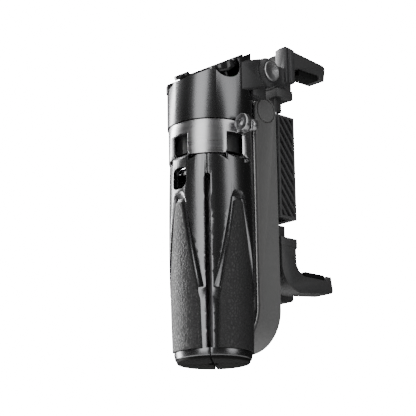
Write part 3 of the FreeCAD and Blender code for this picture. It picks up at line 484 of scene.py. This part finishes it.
refinedPieces = [
    ("collar", "collarRing", "handle", "silver", "silver", 0.15),
    ("collar_screw", "collarScrew", "handle", "silver", "silver", 0.15),
    ("collar_nut", "collarNut", "handle", "silver", "silver", 0.15),
    ("leg_hub", "legHub", "handle", "dark_trim", "darkTrim", 0.15),
    ("mast_outer_tube", "outerTube", "handle", "tube", "tubeMetal", 0.1),
    ("mast_middle_tube", "middleTube", "mast_middle", "tube", "tubeMetal", 0.1),
    ("mast_inner_tube", "innerTube", "mast_inner", "tube", "tubeMetal", 0.1),
    ("head_housing", "headShell", "head", "gunmetal", "gunmetal", 0.25),
    ("arm_horn", "armHorn", "head", "gunmetal", "hornPaint", 0.2),
    ("control_panel", "controlPanel", "head", "dark_trim", "darkTrim", 0.12),
    ("hinge_bracket", "hingeBracket", "head", "arm_core", "armCore", 0.25),
    ("power_button", "powerButton", "power_key", "controls", "controlPlastic", 0.12),
    ("mode_button", "modeButton", "mode_key", "controls", "controlPlastic", 0.12),
    ("side_button", "sideButton", "side_key", "controls", "controlPlastic", 0.12),
    ("zoom_dial", "zoomDial", "zoom_wheel", "controls", "controlPlastic", 0.12),
    ("joystick", "joystickCap", "stick", "controls", "controlPlastic", 0.12),
    ("accessory_shaft", "accessoryShaft", "accessory", "silver", "silver", 0.12),
    ("accessory_plate", "accessoryPlate", "accessory", "accessory", "hornPaint", 0.2),
    ("arm_cover", "armCover", "arm", "arm_shell", "armPaint", 0.12),
    ("arm_frame", "armFrame", "arm", "arm_core", "armCore", 0.25),
    ("pivot_cap", "pivotCap", "arm", "arm_shell", "armPaint", 0.1),
    ("motor_housing", "motorCan", "arm", "arm_core", "armCore", 0.2),
    ("clamp_housing", "clampHousing", "clamp", "clamp_body", "clampPlastic", 0.15),
    ("clamp_front_cover", "clampFront", "clamp", "clamp_body", "clampPlastic", 0.2),
    ("phone_pad", "phonePad", "clamp", "rubber", "rubber", 0.35),
    ("upper_jaw", "upperJaw", "upper_grip", "jaw_body", "jawPlastic", 0.4),
    ("lower_jaw", "lowerJaw", "lower_grip", "jaw_body", "jawPlastic", 0.4),
    ("upper_jaw_pads", "upperJawPads", "upper_grip", "rubber", "rubber", 0.25),
    ("lower_jaw_pads", "lowerJawPads", "lower_grip", "rubber", "rubber", 0.25),
    ("upper_carriage", "upperCarriage", "upper_grip", "jaw_body", "jawPlastic", 0.2),
    ("lower_carriage", "lowerCarriage", "lower_grip", "jaw_body", "jawPlastic", 0.2),
]
for nodeName, name, body, slot, look, width in refinedPieces:
    place(refined(nodeName, name, width), body, looks[look], [nodeName])

# painted shade: a near-black wall behind the windows between the collar's tongues, standing in for the shadow
# inside them; sizes in mm
shadeSheet = dict(outer=12.4, inner=11.8, low=36.4, high=43.2, sides=96)
bm = bmesh.new()
corners = [(shadeSheet[r] * mm, shadeSheet[z] * mm) for r, z in (
    ("outer", "low"), ("outer", "high"), ("inner", "high"), ("inner", "low"))]
loops = [[bm.verts.new((r * cos(2 * pi * i / shadeSheet["sides"]), r * sin(2 * pi * i / shadeSheet["sides"]), z))
          for i in range(shadeSheet["sides"])] for r, z in corners]
for ringA, ringB in zip(loops, loops[1:] + loops[:1]):
    for i in range(shadeSheet["sides"]):
        k = (i + 1) % shadeSheet["sides"]
        bm.faces.new((ringA[i], ringA[k], ringB[k], ringB[i]))
bmesh.ops.recalc_face_normals(bm, faces=bm.faces)
wall = newObject("windowShadeSheet", meshFromBmesh("windowShadeSheet", bm))
smoothByAngle(wall.data)
place(wall, "handle", looks["darkTrim"])

hidden = dict(
    leg_hinge_pins="steel", hinge_pin="steel", upper_guide_rods="steel", lower_guide_rods="steel",
    upper_clamp_springs="steel", lower_clamp_springs="steel", clamp_cover_screws="steel",
    motor_bearings="steel", motor_rotor="steel", mast_top_boss="tubeMetal", control_board="boardGreen",
    battery="cellWrap", motor_stator="copper", sync_pinion="brassGear", joystick_base="darkTrim",
    joystick_yoke="darkTrim")
for nodeName, look in hidden.items():
    paint(nodeName, looks[look])
print("head, arm and clamp made")


# camera, lights and floor

studio = dict(    # metres and degrees
    cameraAt=(0.37239, -0.36130, -0.12072), azimuth=45.99, elevation=-15.0, roll=-0.90, lens=129.3,
    aim=(0.0, 0.012, 0.018), lightDistance=0.9, floorZ=-0.30, floorR=0.6, floorSides=128)

cameraData = bpy.data.cameras.new("viewCamera")
cameraData.lens = studio["lens"]
cameraData.sensor_width = 36.0
cameraData.clip_start = 0.01
camera = newObject("viewCamera", cameraData)
camera.matrix_world = (Matrix.Translation(studio["cameraAt"])
                       @ Matrix.Rotation(radians(studio["azimuth"]), 4, "Z")
                       @ Matrix.Rotation(radians(90 - studio["elevation"]), 4, "X")
                       @ Matrix.Rotation(radians(studio["roll"]), 4, "Z"))
bpy.context.scene.camera = camera

softboxes = {    # turn from the camera, width and height in metres, tilt, power in watts
    "rearLeft": (-120.0, 0.30, 1.2, 14.0, 20.0),
    "frontLeft": (-26.0, 0.46, 1.2, 16.0, 5.2),
    "right": (56.0, 0.44, 1.2, 16.0, 3.2),
    "top": (10.0, 0.7, 0.7, 80.0, 2.2),
}
for name, (turn, width, height, tilt, power) in softboxes.items():
    lamp = bpy.data.lights.new(name, "AREA")
    lamp.shape = "RECTANGLE"
    lamp.size = width
    lamp.size_y = height
    lamp.energy = power
    light = newObject(name, lamp)
    around = radians(studio["azimuth"] + turn)
    up = radians(tilt)
    outward = Vector((sin(around) * cos(up), -cos(around) * cos(up), sin(up)))
    spot = Vector(studio["aim"]) + outward * studio["lightDistance"]
    light.matrix_world = Matrix.Translation(spot) @ outward.to_track_quat("Z", "Y").to_matrix().to_4x4()

world = bpy.data.worlds.new("paleStudio")
world.use_nodes = True
bpy.context.scene.world = world
tree = world.node_tree
background = tree.nodes["Background"]
background.inputs["Color"].default_value = (0.03, 0.03, 0.03, 1.0)
backdrop = tree.nodes.new("ShaderNodeBackground")
backdrop.inputs["Color"].default_value = (1.0, 1.0, 1.0, 1.0)
backdrop.inputs["Strength"].default_value = 20.0
paths = tree.nodes.new("ShaderNodeLightPath")
chooser = tree.nodes.new("ShaderNodeMixShader")
tree.links.new(paths.outputs["Is Camera Ray"], chooser.inputs[0])
tree.links.new(background.outputs[0], chooser.inputs[1])
tree.links.new(backdrop.outputs[0], chooser.inputs[2])
tree.links.new(chooser.outputs[0], tree.nodes["World Output"].inputs["Surface"])

floorMesh = bpy.data.meshes.new("floor")
rimAngles = [2 * pi * i / studio["floorSides"] for i in range(studio["floorSides"])]
rimPoints = [(studio["floorR"] * cos(a), studio["floorR"] * sin(a), studio["floorZ"]) for a in rimAngles]
floorMesh.from_pydata(rimPoints, [], [tuple(range(len(rimPoints)))])
floor = newObject("floor", floorMesh)
floorPaint = bpy.data.materials.new("floorPaint")
floorPaint.use_nodes = True
floorShader = floorPaint.node_tree.nodes["Principled BSDF"]
floorShader.inputs["Base Color"].default_value = (0.8, 0.8, 0.8, 1.0)
floorShader.inputs["Roughness"].default_value = 0.8
floorMesh.materials.append(floorPaint)
print("studio made")
